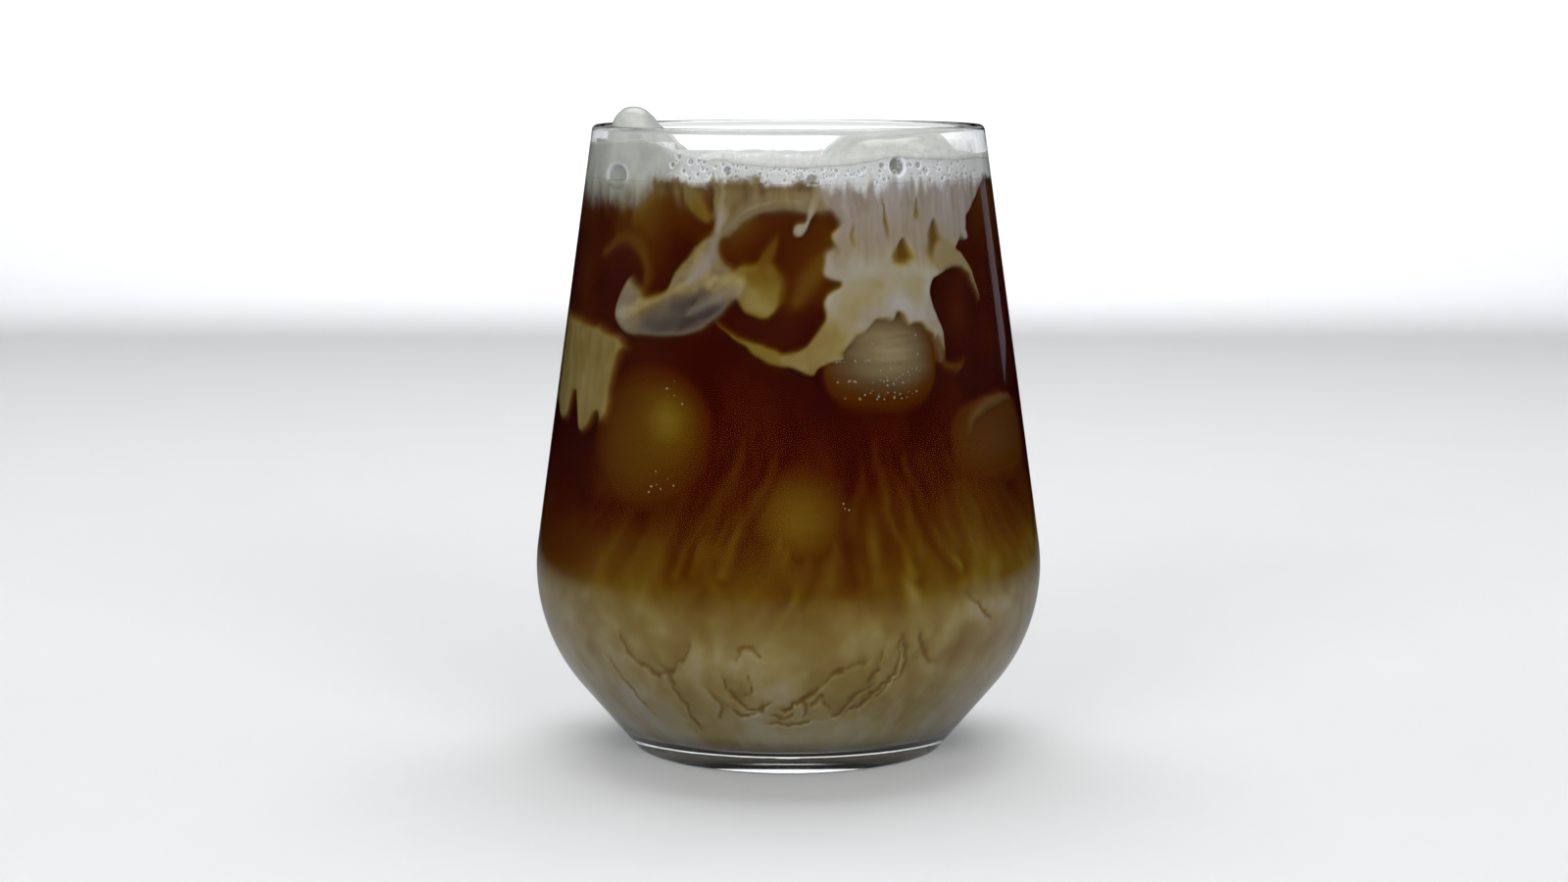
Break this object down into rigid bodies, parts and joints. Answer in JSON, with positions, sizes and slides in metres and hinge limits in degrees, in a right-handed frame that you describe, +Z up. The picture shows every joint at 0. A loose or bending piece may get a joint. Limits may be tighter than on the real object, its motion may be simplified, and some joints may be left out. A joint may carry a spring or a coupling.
{
  "type": "iced latte in a glass",
  "caption": "Stemless glass tumbler with a rounded belly, filled with settled milky coffee, dark coffee, a froth head and ice that stands out of the drink",
  "frame": {"origin": "centre of the glass's foot, on the plane the glass stands on", "axes": "+Z up along the glass's axis, +X to the right and -Y towards the viewer of the shown side"},
  "size_m": [0.087, 0.087, 0.1102],
  "materials": {
    "glass": "clear and fire-polished",
    "milky_coffee": "cloudy liquid, beige with thin dark wrinkles",
    "coffee": "clear dark liquid with drifting plumes of milk",
    "froth": "fine wet bubbles",
    "ice": "half-melted, cloudy with fine bubbles"
  },
  "bodies": {
    "root": {"glass": "glass", "milk_base": "milky_coffee", "coffee": "coffee", "froth": "froth", "ice_left": "ice", "ice_right": "ice"}
  },
  "joints": []
}
